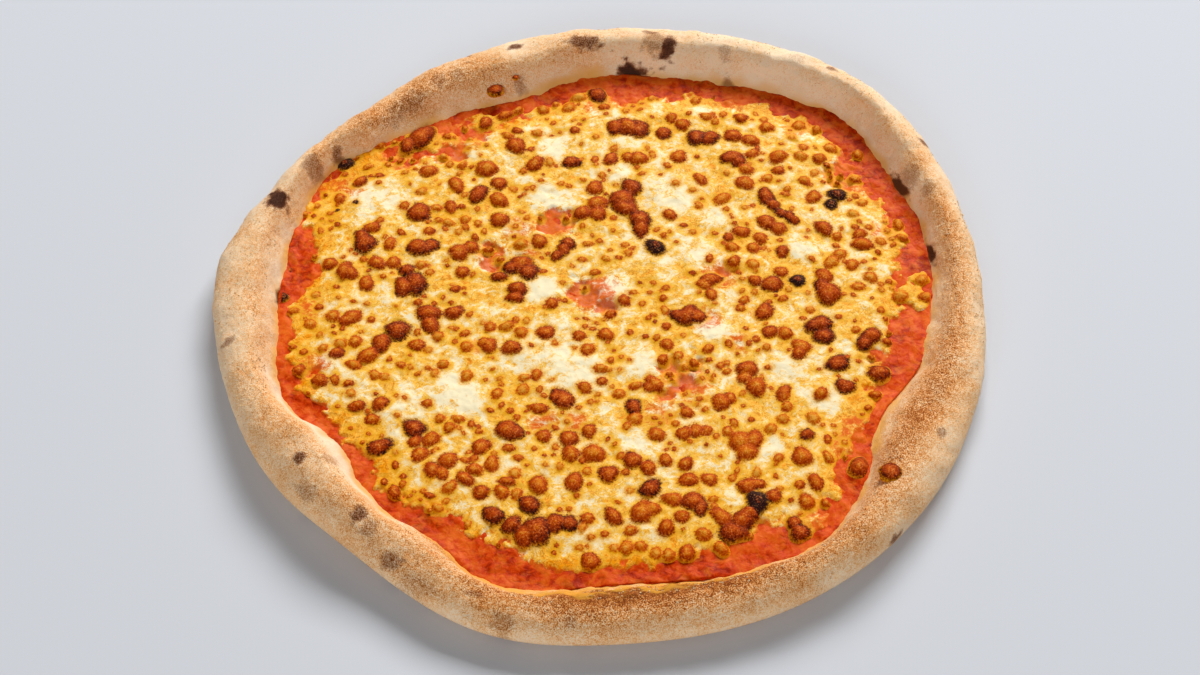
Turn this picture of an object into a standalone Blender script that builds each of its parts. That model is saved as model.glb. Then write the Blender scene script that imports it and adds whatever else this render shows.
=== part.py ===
"""A margherita pizza: a stretched dough base with a puffed rim, tomato sauce and melted cheese.

Units are metres with +Z up; the driving dimensions below are in millimetres. The origin is the
middle of the underside, so the pizza stands on the plane z = 0. Bearings are in degrees, counted
from +X towards +Y.
"""

import math

import bmesh
import bpy
from mathutils import Vector, noise

MM = 0.001

# The stretched dough, seen from above: a round outline with hand-stretched swells, each one
# (bearing, spread, growth). Its rim runs between the outer and the inner outline.
OUTER_RADIUS = 157.0
OUTER_SWELLS = (
    (48.0, 20.0, 13.0),
    (140.0, 24.0, -6.0),
    (173.0, 9.0, 5.0),
    (203.0, 12.0, -1.5),
    (230.0, 9.0, -4.0),
    (257.0, 9.0, 4.0),
    (300.0, 24.0, 5.0),
)
INNER_RADIUS = 133.0
INNER_SWELLS = (
    (18.0, 12.0, 8.0),
    (46.0, 12.0, 17.0),
    (68.0, 8.0, 4.0),
    (90.0, 5.0, 2.0),
    (107.0, 8.0, -9.0),
    (126.0, 10.0, -5.0),
    (149.0, 8.0, 6.0),
    (182.0, 9.0, -2.0),
    (201.0, 6.0, 3.0),
    (215.0, 7.0, -10.0),
    (240.0, 6.0, -4.0),
    (255.0, 8.0, 8.0),
    (303.0, 12.0, 10.0),
    (333.0, 8.0, -10.0),
)
RIM_HEIGHT = 18.0
RIM_SWELLS = (
    (50.0, 22.0, 2.0),
    (100.0, 14.0, 2.0),
    (130.0, 9.0, -1.5),
    (172.0, 14.0, 1.0),
    (219.0, 12.0, 4.0),
    (268.0, 20.0, -3.0),
    (312.0, 10.0, 1.5),
    (345.0, 16.0, -1.5),
)
BASE_THICKNESS = 4.5
FOOT_INSET = 10.0
BULGE_SHARE = 0.42
CREST_SHARE = 0.52
LUMP_HEIGHT = 1.1
LUMP_LENGTH = 24.0

# The tomato sauce: a thin even spread that reaches the foot of the rim.
GAP = 0.3
SAUCE_THICKNESS = 1.5
SAUCE_EDGE_ROUND = 0.5

# The melted cheese: an uneven layer with its own outline, short of the rim nearly all round.
CHEESE_RADIUS = 125.0
CHEESE_SWELLS = (
    (18.0, 5.0, 8.0),
    (44.0, 11.0, 12.0),
    (60.0, 8.0, 5.0),
    (86.0, 5.0, -9.0),
    (90.0, 3.0, 6.0),
    (107.0, 9.0, -12.0),
    (118.0, 3.0, 4.0),
    (150.0, 10.0, 8.0),
    (169.0, 5.0, -8.0),
    (217.0, 8.0, -8.0),
    (243.0, 7.0, -6.0),
    (266.0, 6.0, 3.0),
    (308.0, 5.0, 9.0),
    (342.0, 14.0, -8.0),
)
CHEESE_RIM_CLEARANCE = 1.5
CHEESE_THICKNESS = 2.6
CHEESE_EDGE_THICKNESS = 1.1
CHEESE_WAVE_HEIGHT = 0.8
CHEESE_WAVE_LENGTH = 16.0

# How finely the solids are divided: steps round the middle, and steps along each stretch of
# the cross-section.
TURN_STEPS = 120
FOOT_STEPS = 4
SIDE_STEPS = 6
WALL_STEPS = 7
CHEESE_RINGS = 10
SHARP_ANGLE = math.radians(50.0)

# Colour, roughness and metallic value of each layer.
CRUST_FINISH = ((0.58, 0.31, 0.12, 1.0), 0.75, 0.0)
SAUCE_FINISH = ((0.56, 0.07, 0.01, 1.0), 0.35, 0.0)
CHEESE_FINISH = ((0.82, 0.45, 0.12, 1.0), 0.40, 0.0)


def clear_scene():
    """Remove every object that the scene holds."""
    for old in list(bpy.data.objects):
        bpy.data.objects.remove(old, do_unlink=True)


def swollen(base, swells, bearing):
    """Return a size at one bearing: its base value and the swells that reach there."""
    size = base
    for centre, spread, growth in swells:
        apart = (bearing - centre + 180.0) % 360.0 - 180.0
        size += growth * math.exp(-0.5 * (apart / spread) ** 2)
    return size


def rim_section(outer, inner, crest_height):
    """Return the rim's cross-section, from its foot over the crest to the inner edge.

    Each point is (distance from the middle, height). The outside is two quarters of an
    ellipse that meet at the widest level, and the inner wall eases down to the base.
    """
    bulge_height = BULGE_SHARE * crest_height
    crest_inset = CREST_SHARE * (outer - inner)
    crest = outer - crest_inset
    section = []
    for step in range(FOOT_STEPS):
        turn = 0.5 * math.pi * step / FOOT_STEPS
        section.append((outer - FOOT_INSET * (1.0 - math.sin(turn)),
                        bulge_height * (1.0 - math.cos(turn))))
    for step in range(SIDE_STEPS):
        turn = 0.5 * math.pi * step / SIDE_STEPS
        section.append((outer - crest_inset * (1.0 - math.cos(turn)),
                        bulge_height + (crest_height - bulge_height) * math.sin(turn)))
    for step in range(WALL_STEPS + 1):
        share = step / WALL_STEPS
        section.append((crest - (crest - inner) * share,
                        BASE_THICKNESS + (crest_height - BASE_THICKNESS)
                        * 0.5 * (1.0 + math.cos(math.pi * share))))
    return section


def crust_section(bearing):
    """Return the dough's cross-section at a bearing, from underside middle to upper middle."""
    outer = swollen(OUTER_RADIUS, OUTER_SWELLS, bearing)
    inner = swollen(INNER_RADIUS, INNER_SWELLS, bearing)
    crest_height = swollen(RIM_HEIGHT, RIM_SWELLS, bearing)
    underside = [(0.0, 0.0), (0.55 * inner, 0.0)]
    upper = [(0.8 * inner, BASE_THICKNESS), (0.4 * inner, BASE_THICKNESS), (0.0, BASE_THICKNESS)]
    return underside + rim_section(outer, inner, crest_height) + upper


def sauce_section(bearing):
    """Return the sauce's cross-section: a thin disc with a softened upper edge."""
    edge = swollen(INNER_RADIUS, INNER_SWELLS, bearing) - GAP - SAUCE_EDGE_ROUND
    bottom = BASE_THICKNESS + GAP
    top = bottom + SAUCE_THICKNESS
    return [
        (0.0, bottom), (0.6 * edge, bottom), (edge, bottom),
        (edge, top - SAUCE_EDGE_ROUND), (edge - SAUCE_EDGE_ROUND, top),
        (0.6 * edge, top), (0.0, top),
    ]


def cheese_section(bearing):
    """Return the cheese's cross-section: flat below, thinning to a rounded edge above."""
    room = swollen(INNER_RADIUS, INNER_SWELLS, bearing) - CHEESE_RIM_CLEARANCE
    edge = min(swollen(CHEESE_RADIUS, CHEESE_SWELLS, bearing), room)
    bottom = BASE_THICKNESS + SAUCE_THICKNESS + 2.0 * GAP
    section = [(0.0, bottom), (0.6 * edge, bottom), (edge, bottom)]
    for ring in range(CHEESE_RINGS):
        share = ring / CHEESE_RINGS
        fullness = math.sqrt(1.0 - (1.0 - min(1.0, 4.0 * share)) ** 2)
        thickness = CHEESE_EDGE_THICKNESS + (CHEESE_THICKNESS - CHEESE_EDGE_THICKNESS) * fullness
        section.append((edge * (1.0 - share), bottom + thickness))
    section.append((0.0, bottom + CHEESE_THICKNESS))
    return section


def crust_lumps(place, ring, rings):
    """Return how far the baked surface swells at a place, zero under and inside the rim."""
    rim_start = 2 + FOOT_STEPS
    rim_end = rings - 1 - 3
    if not rim_start < ring < rim_end:
        return 0.0
    ease = math.sin(math.pi * (ring - rim_start) / (rim_end - rim_start))
    return ease * LUMP_HEIGHT * noise.noise(place / LUMP_LENGTH)


def cheese_waves(place, ring, rings):
    """Return how far the melted surface rises or dips at a place, zero underneath."""
    if ring <= 3 or ring >= rings:
        return 0.0
    return CHEESE_WAVE_HEIGHT * noise.noise(place / CHEESE_WAVE_LENGTH)


def flat_surface(_place, _ring, _rings):
    """Return no rise at all, for the evenly spread sauce."""
    return 0.0


def turned_solid(name, section_at, rise_at, finish, collection):
    """Make one closed layer whose cross-section changes with the bearing.

    A sphere's rings, counted from its lower pole to its upper pole, are moved to the points
    of section_at(bearing), and rise_at(place, ring, rings) lifts the surface a little.
    """
    rings = len(section_at(0.0)) - 1
    solid = bmesh.new()
    bmesh.ops.create_uvsphere(solid, u_segments=TURN_STEPS, v_segments=rings, radius=1.0)
    for vert in solid.verts:
        polar = math.acos(max(-1.0, min(1.0, -vert.co.z)))
        ring = round(rings * polar / math.pi)
        bearing = math.degrees(math.atan2(vert.co.y, vert.co.x)) % 360.0
        radius, height = section_at(bearing)[ring]
        turn = math.radians(bearing)
        place = Vector((radius * math.cos(turn), radius * math.sin(turn), height))
        place.z += rise_at(place, ring, rings)
        vert.co = place * MM
    mesh = bpy.data.meshes.new(name)
    solid.to_mesh(mesh)
    solid.free()
    mesh.shade_smooth()
    mesh.set_sharp_from_angle(angle=SHARP_ANGLE)
    mesh.materials.append(make_material(name, finish))
    layer = bpy.data.objects.new(name, mesh)
    collection.objects.link(layer)
    return layer


def make_material(name, finish):
    """Make a layer's material from its colour, roughness and metallic value."""
    colour, roughness, metallic = finish
    material = bpy.data.materials.new(name)
    material.use_nodes = True
    surface = material.node_tree.nodes["Principled BSDF"]
    surface.inputs["Base Color"].default_value = colour
    surface.inputs["Roughness"].default_value = roughness
    surface.inputs["Metallic"].default_value = metallic
    material.diffuse_color = colour
    return material


def centre_on_origin(layers):
    """Move every layer's shape so that the widest one's box stands centred on the origin."""
    across = [vert.co for vert in layers[0].data.vertices]
    middle_x = 0.5 * (min(co.x for co in across) + max(co.x for co in across))
    middle_y = 0.5 * (min(co.y for co in across) + max(co.y for co in across))
    for layer in layers:
        for vert in layer.data.vertices:
            vert.co.x -= middle_x
            vert.co.y -= middle_y


def main():
    """Build the pizza's three layers in one collection."""
    clear_scene()
    pizza = bpy.data.collections.new("margherita_pizza")
    bpy.context.scene.collection.children.link(pizza)
    layers = [
        turned_solid("crust", crust_section, crust_lumps, CRUST_FINISH, pizza),
        turned_solid("tomato_sauce", sauce_section, flat_surface, SAUCE_FINISH, pizza),
        turned_solid("cheese", cheese_section, cheese_waves, CHEESE_FINISH, pizza),
    ]
    centre_on_origin(layers)


main()
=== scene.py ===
"""Looks of a margherita pizza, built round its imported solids.

The dough, the tomato sauce and the melted cheese each replace the plain solid of that layer.
Browned cheese drops and loose semolina grains lie on the rim. Lists of places are in
millimetres, measured from the middle that the dough was stretched round, and bearings are in
degrees from +X towards +Y.
"""

from __future__ import annotations

import logging
import math
from dataclasses import dataclass, field
from enum import Enum

import bmesh
import bpy
import numpy as np
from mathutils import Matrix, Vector

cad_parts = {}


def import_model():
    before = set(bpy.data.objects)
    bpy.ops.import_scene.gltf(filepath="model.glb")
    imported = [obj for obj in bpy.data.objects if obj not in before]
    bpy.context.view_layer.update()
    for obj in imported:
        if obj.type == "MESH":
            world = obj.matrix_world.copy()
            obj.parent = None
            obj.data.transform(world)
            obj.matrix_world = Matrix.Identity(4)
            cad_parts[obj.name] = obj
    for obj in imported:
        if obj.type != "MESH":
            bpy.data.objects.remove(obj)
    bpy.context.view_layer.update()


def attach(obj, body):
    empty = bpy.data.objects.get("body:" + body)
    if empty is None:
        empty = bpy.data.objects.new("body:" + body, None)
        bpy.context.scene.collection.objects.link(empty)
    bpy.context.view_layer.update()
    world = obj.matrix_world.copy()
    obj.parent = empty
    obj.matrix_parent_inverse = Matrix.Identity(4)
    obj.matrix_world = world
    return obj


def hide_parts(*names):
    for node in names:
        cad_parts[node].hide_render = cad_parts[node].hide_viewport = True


LOG = logging.getLogger("margherita")

MM = 0.001
BAKE_MAP = "OFBake"
MATT_SPECULAR = 0.1

Colour = tuple[float, float, float, float]
Triples = tuple[tuple[float, float, float], ...]


def linear(code: str) -> Colour:
    """Turn an sRGB hex colour, such as "E8B070", into linear RGBA with an alpha of 1."""
    channels = [int(code[i:i + 2], 16) / 255.0 for i in (0, 2, 4)]
    straight = [c / 12.92 if c <= 0.04045 else ((c + 0.055) / 1.055) ** 2.4 for c in channels]
    return (*straight, 1.0)


def smooth(low: float, high: float, value: np.ndarray) -> np.ndarray:
    """Ease values from 0 at low to 1 at high, either way round."""
    share = np.clip((value - low) / (high - low), 0.0, 1.0)
    return share * share * (3.0 - 2.0 * share)


def bell(value: np.ndarray, centre: float, spread: float) -> np.ndarray:
    """Ease values from 1 at the centre to 0 a few spreads away."""
    return np.exp(-0.5 * ((value - centre) / spread) ** 2)


def turn_from(centre: float, bearing: np.ndarray) -> np.ndarray:
    """Return how far each bearing lies from a centre one, between -180 and 180 degrees."""
    return (bearing - centre + 180.0) % 360.0 - 180.0


def bearing_of(places: np.ndarray) -> np.ndarray:
    """Return each point's bearing, between 0 and 360 degrees."""
    return np.degrees(np.arctan2(places[:, 1], places[:, 0])) % 360.0


def apart_from(plan: np.ndarray, x: float, y: float) -> np.ndarray:
    """Return each point's distance from a place, seen from above."""
    return np.hypot(plan[:, 0] - x, plan[:, 1] - y)


def swung_round(bearing: np.ndarray, radius: np.ndarray, height: np.ndarray) -> np.ndarray:
    """Return points in millimetres from their bearings, distances and heights."""
    turn = np.radians(bearing)
    return np.stack((radius * np.cos(turn), radius * np.sin(turn), height), axis=-1)


def unevenness(places: np.ndarray, size: float, seed: int, octaves: int = 1) -> np.ndarray:
    """Read smooth gradient noise at many places.

    Args:
        places: Points in millimetres, one a row, with two or three columns.
        size: Width of the largest bumps in millimetres.
        seed: Picks another stretch of noise.
        octaves: How many times finer bumps are added at half the height.

    Returns:
        One value a point, between about -1 and 1.
    """
    dice = np.random.default_rng(seed)
    order = dice.permutation(256)
    slopes = dice.normal(size=(256, 3))
    slopes /= np.linalg.norm(slopes, axis=1, keepdims=True)
    solid = places if places.shape[1] == 3 else np.column_stack((places, np.zeros(len(places))))
    total = np.zeros(len(places))
    for octave in range(octaves):
        fine = solid * (2.0 ** octave / size) + 31.7 * (octave + 1)
        cell = np.floor(fine).astype(int)
        inside = fine - cell
        ease = inside ** 3 * (inside * (inside * 6.0 - 15.0) + 10.0)
        for corner in range(8):
            step = np.array([corner & 1, corner >> 1 & 1, corner >> 2 & 1])
            key = np.zeros(len(places), int)
            for axis in range(3):
                key = order[(key + cell[:, axis] + step[axis]) & 255]
            pull = np.prod(np.where(step == 1, ease, 1.0 - ease), axis=1)
            total += 1.7 * 0.5 ** octave * pull * np.sum(slopes[key] * (inside - step), axis=1)
    return total


@dataclass(frozen=True)
class Ripple:
    """Even bumps: their height, their width in millimetres, a seed and how many octaves."""

    height: float
    size: float
    seed: int
    octaves: int = 1

    def at(self, places: np.ndarray) -> np.ndarray:
        """Return the bumps' rise or dip at each place."""
        return self.height * unevenness(places, self.size, self.seed, self.octaves)


def feed(tree: bpy.types.NodeTree, node: bpy.types.Node, inputs: dict) -> None:
    """Set or link a shader node's inputs.

    Args:
        tree: The material's node tree.
        node: The node.
        inputs: Socket name or number to a value, to an output socket, or to a node whose first
            output in use is linked.
    """
    for socket, value in inputs.items():
        if isinstance(value, bpy.types.Node):
            value = next(output for output in value.outputs if output.enabled)
        if isinstance(value, bpy.types.NodeSocket):
            tree.links.new(value, node.inputs[socket])
        else:
            node.inputs[socket].default_value = value


def add_node(tree: bpy.types.NodeTree, kind: str, inputs: dict | None = None,
             stops: tuple = (), **settings: object) -> bpy.types.Node:
    """Add one shader node with its settings and links.

    Args:
        tree: The material's node tree.
        kind: The node's type name, without the "ShaderNode" that each starts with.
        inputs: What its inputs are set or linked to.
        stops: For a colour ramp, its (position, hex colour) stops, first and last ahead.
        **settings: The node's own properties.

    Returns:
        The new node.
    """
    node = tree.nodes.new("ShaderNode" + kind)
    for name, value in settings.items():
        setattr(node, name, value)
    for number, (position, code) in enumerate(stops):
        elements = node.color_ramp.elements
        element = elements[number] if number < 2 else elements.new(position)
        element.position = position
        element.color = linear(code)
    feed(tree, node, inputs or {})
    return node


def start_material(name: str) -> tuple[bpy.types.Material, bpy.types.NodeTree, bpy.types.Node]:
    """Return a new material, its node tree and its surface node."""
    material = bpy.data.materials.new(name)
    material.use_nodes = True
    return material, material.node_tree, material.node_tree.nodes["Principled BSDF"]


def read_values(tree: bpy.types.NodeTree, *names: str) -> list[bpy.types.NodeSocket]:
    """Return the sockets that read a piece's stored values."""
    return [add_node(tree, "Attribute", attribute_name=name).outputs["Fac"] for name in names]


def to_mesh(name: str, shape: bmesh.types.BMesh) -> bpy.types.Mesh:
    """Turn an edited shape into a mesh, and free the shape."""
    mesh = bpy.data.meshes.new(name)
    shape.to_mesh(mesh)
    shape.free()
    return mesh


def to_object(name: str, data: bpy.types.ID) -> bpy.types.Object:
    """Put a mesh, a lamp or a camera into the scene, at the origin."""
    made = bpy.data.objects.new(name, data)
    bpy.context.scene.collection.objects.link(made)
    return made


def move_points(shape: bmesh.types.BMesh, places: np.ndarray) -> None:
    """Move a shape's vertices to new places."""
    for vert, place in zip(shape.verts, places):
        vert.co = place


def set_values(piece: bpy.types.Object, values: dict[str, np.ndarray]) -> None:
    """Store named values on a piece, one for each vertex."""
    for name, numbers in values.items():
        attribute = piece.data.attributes.new(name, "FLOAT", "POINT")
        attribute.data.foreach_set("value", numbers.astype(np.float32))


def read_corners(mesh: bpy.types.Mesh) -> tuple[np.ndarray, np.ndarray, np.ndarray]:
    """Read how a mesh's faces use its vertices.

    Args:
        mesh: The mesh.

    Returns:
        Each corner's vertex, each corner's face, and how many corners each face has.
    """
    corners = np.zeros(len(mesh.loops), np.int32)
    mesh.loops.foreach_get("vertex_index", corners)
    totals = np.zeros(len(mesh.polygons), np.int32)
    mesh.polygons.foreach_get("loop_total", totals)
    return corners, np.repeat(np.arange(len(totals)), totals), totals


def lay_out(mesh: bpy.types.Mesh, layout: np.ndarray) -> None:
    """Store each corner's place on the map that colours are baked to."""
    layer = mesh.uv_layers.new(name=BAKE_MAP)
    layer.uv.foreach_set("vector", layout.astype(np.float32).ravel())


@dataclass(frozen=True)
class Outline:
    """A round outline with swells, each (bearing, spread, growth)."""

    radius: float
    swells: Triples

    def at(self, bearing: np.ndarray) -> np.ndarray:
        """Return the outline's size at each bearing, in millimetres."""
        size = np.full_like(bearing, self.radius, dtype=float)
        for centre, spread, growth in self.swells:
            size += growth * bell(turn_from(centre, bearing), 0.0, spread)
        return size


@dataclass(frozen=True)
class DoughForm:
    """The stretched dough's named sizes, in millimetres, as its solid has them."""

    outer: Outline = Outline(157.0, (
        (48.0, 20.0, 13.0), (140.0, 24.0, -6.0), (173.0, 9.0, 5.0), (203.0, 12.0, -1.5),
        (230.0, 9.0, -4.0), (257.0, 9.0, 4.0), (300.0, 24.0, 5.0),
    ))
    inner: Outline = Outline(133.0, (
        (18.0, 12.0, 8.0), (46.0, 12.0, 17.0), (68.0, 8.0, 4.0), (90.0, 5.0, 2.0),
        (107.0, 8.0, -9.0), (126.0, 10.0, -5.0), (149.0, 8.0, 6.0), (182.0, 9.0, -2.0),
        (201.0, 6.0, 3.0), (215.0, 7.0, -10.0), (240.0, 6.0, -4.0), (255.0, 8.0, 8.0),
        (303.0, 12.0, 10.0), (333.0, 8.0, -10.0),
    ))
    crest: Outline = Outline(18.0, (
        (50.0, 22.0, 2.0), (100.0, 14.0, 2.0), (130.0, 9.0, -1.5), (172.0, 14.0, 1.0),
        (219.0, 12.0, 4.0), (268.0, 20.0, -3.0), (312.0, 10.0, 1.5), (345.0, 16.0, -1.5),
    ))
    base_thickness: float = 4.5
    foot_inset: float = 10.0
    bulge_share: float = 0.42
    crest_share: float = 0.52
    middle_shift: tuple[float, float] = (0.7, 1.3)

    def placed(self, places: np.ndarray) -> np.ndarray:
        """Move points from the stretching middle to the frame, in metres.

        Args:
            places: Points in millimetres with three columns.

        Returns:
            The same points in the frame, in metres.
        """
        return (places + np.array([*self.middle_shift, 0.0])) * MM


@dataclass(frozen=True)
class Spot:
    """A scorch mark on the rim: where it lies, its half sizes and how dark it is."""

    bearing: float
    radius: float
    along: float
    across: float
    strength: float

    def reach(self, bearing: np.ndarray, radius: np.ndarray, room_along: float = 1.0,
              room_across: float = 1.0) -> np.ndarray:
        """Return how far points lie from the mark, in half sizes.

        Args:
            bearing: The points' bearings in degrees.
            radius: Their distances from the middle in millimetres.
            room_along: Lengthens the mark along the rim.
            room_across: Widens the mark across the rim.

        Returns:
            0 at its middle and 1 at its edge.
        """
        along = np.radians(turn_from(self.bearing, bearing)) * self.radius
        return np.hypot(along / (room_along * self.along),
                        (radius - self.radius) / (room_across * self.across))


@dataclass(frozen=True)
class BakeAndLightStretch:
    """A stretch of rim painted darker or paler than the rest: mostly for how it baked, and paler
    on the back inner wall as painted light that lifts the shade there.
    """

    bearing: float
    spread: float
    level: float
    depth: float
    amount: float


SCORCHES: tuple[Spot, ...] = (
    Spot(160, 144.5, 5.8, 4.6, 1.00),
    Spot(150, 142, 5.5, 4.0, 0.50),
    Spot(144.5, 139.5, 2.6, 2.2, 0.62),
    Spot(127.5, 138, 9.0, 4.5, 0.45),
    Spot(131, 136, 6.0, 3.0, 0.30),
    Spot(120.5, 140, 4.5, 3.5, 0.42),
    Spot(117, 139, 3.5, 3.0, 0.36),
    Spot(106, 129, 3.2, 3.0, 0.42),
    Spot(105, 146, 3.4, 2.2, 0.75),
    Spot(113, 150, 1.4, 1.4, 0.50),
    Spot(93, 143, 8.5, 3.2, 0.70),
    Spot(78, 145, 3.6, 4.6, 0.92),
    Spot(80, 146, 7.5, 5.0, 0.45),
    Spot(81.5, 151, 3.0, 1.8, 0.60),
    Spot(84, 136.0, 6.2, 3.2, 1.00),
    Spot(66, 140.5, 3.6, 2.2, 0.60),
    Spot(68, 149, 3.0, 3.0, 0.32),
    Spot(57, 158, 4.5, 3.5, 0.24),
    Spot(51, 163, 2.4, 2.0, 0.62),
    Spot(31, 163, 2.6, 2.0, 0.66),
    Spot(27.3, 144.4, 8.5, 1.6, 0.88),
    Spot(26.5, 148, 5.0, 3.5, 0.40),
    Spot(22.0, 150, 4.2, 3.4, 0.36),
    Spot(11.8, 141.0, 6.5, 1.5, 0.90),
    Spot(332, 151, 2.6, 2.2, 0.50),
    Spot(340, 142, 5.0, 4.0, 0.30),
    Spot(314, 163, 5.0, 2.0, 0.70),
    Spot(266, 155, 2.8, 3.2, 0.36),
    Spot(257, 159, 5.5, 3.2, 0.38),
    Spot(252.5, 152, 4.5, 1.3, 0.50),
    Spot(239, 151, 4.4, 3.2, 0.56),
    Spot(244, 155, 9.0, 2.4, 0.28),
    Spot(231, 144, 3.6, 3.8, 0.70),
    Spot(233.5, 146, 3.8, 3.4, 0.44),
    Spot(217, 144, 2.4, 2.8, 0.74),
    Spot(219.5, 135, 3.2, 3.0, 0.36),
    Spot(222, 150, 5.0, 3.0, 0.36),
    Spot(190, 151, 2.6, 3.0, 0.56),
    Spot(171, 160, 2.4, 2.0, 0.60),
    Spot(177.5, 132, 5.0, 1.8, 0.88),
)

# Darker and paler stretches of the rim. The first three, paler ones at bearings 30 to 72 on the
# back inner wall, are painted light that lifts the shade the key lamp leaves there; the rest baked
# darker or paler.
BAKE_AND_LIGHT_STRETCHES: tuple[BakeAndLightStretch, ...] = (
    BakeAndLightStretch(30, 14, 0.60, 0.20, -0.06),
    BakeAndLightStretch(48, 18, 0.70, 0.18, -0.12),
    BakeAndLightStretch(72, 14, 0.60, 0.25, -0.20),
    BakeAndLightStretch(14, 12, 0.52, 0.09, 0.24),
    BakeAndLightStretch(345, 14, 0.52, 0.08, 0.20),
    BakeAndLightStretch(330, 14, 0.60, 0.14, 0.16),
    BakeAndLightStretch(308, 12, 0.50, 0.16, 0.14),
    BakeAndLightStretch(285, 14, 0.50, 0.20, 0.04),
    BakeAndLightStretch(275, 14, 0.60, 0.11, 0.75),
    BakeAndLightStretch(272, 16, 0.40, 0.14, 0.12),
    BakeAndLightStretch(243, 8, 0.82, 0.05, 0.34),
    BakeAndLightStretch(243, 12, 0.30, 0.08, 0.10),
    BakeAndLightStretch(218, 12, 0.42, 0.14, 0.10),
    BakeAndLightStretch(216, 12, 0.80, 0.10, -0.30),
    BakeAndLightStretch(190, 14, 0.50, 0.30, -0.04),
    BakeAndLightStretch(130, 9, 0.42, 0.14, 0.26),
    BakeAndLightStretch(118, 6, 0.46, 0.14, 0.12),
    BakeAndLightStretch(84, 8, 0.44, 0.12, 0.08),
)


@dataclass(frozen=True)
class BakedDoughFinish:
    """Wheat dough baked on a stone floor: matt, golden, with semolina grit and scorch marks.

    The grit breaks the colour into light and dark grains, and bare patches by the sauce are
    oily and smooth.
    """

    pale: str = "FEE4C2"
    straw: str = "F9C48A"
    golden: str = "E4964C"
    brown: str = "BC6622"
    deep: str = "84401A"
    scorch: str = "7C3C14"
    coal: str = "2A1614"
    oily: str = "F4AE3C"
    grain_mm: float = 0.46
    fleck_mm: float = 1.7
    cloud_mm: float = 14.0
    roughness: float = 0.72
    oily_roughness: float = 0.42
    specular: float = 0.06

    def material(self) -> bpy.types.Material:
        """Return the finish as a material."""
        material, tree, surface = start_material("baked_wheat_dough")
        place = add_node(tree, "TexCoord").outputs["Object"]
        bake_and_light, char, oil = read_values(tree, "bake_and_light", "char", "oil")
        grain, fleck, cloud = (
            add_node(tree, "TexNoise", {"Vector": place, "Scale": 1.0 / (size * MM),
                                        "Detail": detail, "Roughness": roughness})
            for size, detail, roughness in ((self.grain_mm, 2.0, 0.6), (self.fleck_mm, 3.0, 0.6),
                                            (self.cloud_mm, 3.0, 0.55)))
        grain_swing, fleck_swing, cloud_swing = (
            add_node(tree, "MapRange", {"Value": pattern, "From Min": low, "From Max": 1.0 - low,
                                        "To Min": -swing, "To Max": swing})
            for pattern, low, swing in ((grain, 0.32, 0.30), (fleck, 0.35, 0.10),
                                        (cloud, 0.30, 0.10)))
        # The grit shows most on browned dough, and not at all where oil lies.
        brown_grit = add_node(tree, "MapRange", {
            "Value": bake_and_light, "From Min": 0.15, "From Max": 0.6, "To Min": 0.6, "To Max": 1.8})
        dry = add_node(tree, "Math", {0: 1.0, 1: oil}, operation="SUBTRACT")
        grit = add_node(tree, "Math", {0: grain_swing, 1: fleck_swing}, operation="ADD")
        for share in (brown_grit, dry):
            grit = add_node(tree, "Math", {0: grit, 1: share}, operation="MULTIPLY")
        # The bake value also holds painted light on the shaded back inner wall.
        tone = bake_and_light
        for swing in (cloud_swing, grit):
            tone = add_node(tree, "Math", {0: tone, 1: swing}, operation="ADD")
        crumb = add_node(tree, "ValToRGB", {"Fac": tone}, stops=(
            (0.0, self.pale), (1.0, self.deep), (0.28, self.straw), (0.52, self.golden),
            (0.78, self.brown)))
        oil_share = add_node(tree, "Math", {0: oil, 1: 0.75}, operation="MULTIPLY")
        colour = add_node(tree, "Mix", {0: oil_share, 6: crumb, 7: linear(self.oily)},
                          data_type="RGBA")
        # Scorch marks, ragged by the grit and burnt to coal at their darkest.
        ragged = add_node(tree, "Math", {0: grit, 1: 0.6}, operation="MULTIPLY")
        burn = add_node(tree, "Math", {0: char, 1: ragged}, operation="ADD")
        for low, high, most, burnt in ((0.10, 0.75, 0.92, self.scorch),
                                       (0.62, 1.0, 0.85, self.coal)):
            share = add_node(tree, "MapRange", {
                "Value": burn, "From Min": low, "From Max": high, "To Max": most})
            colour = add_node(tree, "Mix", {0: share, 6: colour, 7: linear(burnt)},
                              data_type="RGBA")
        feed(tree, surface, {
            "Base Color": colour,
            "Roughness": add_node(tree, "MapRange", {
                "Value": oil, "To Min": self.roughness, "To Max": self.oily_roughness}),
            "Specular IOR Level": self.specular,
            "Normal": add_node(tree, "Bump", {
                "Height": grain, "Strength": 0.55, "Distance": 0.6 * MM})})
        return material


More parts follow.
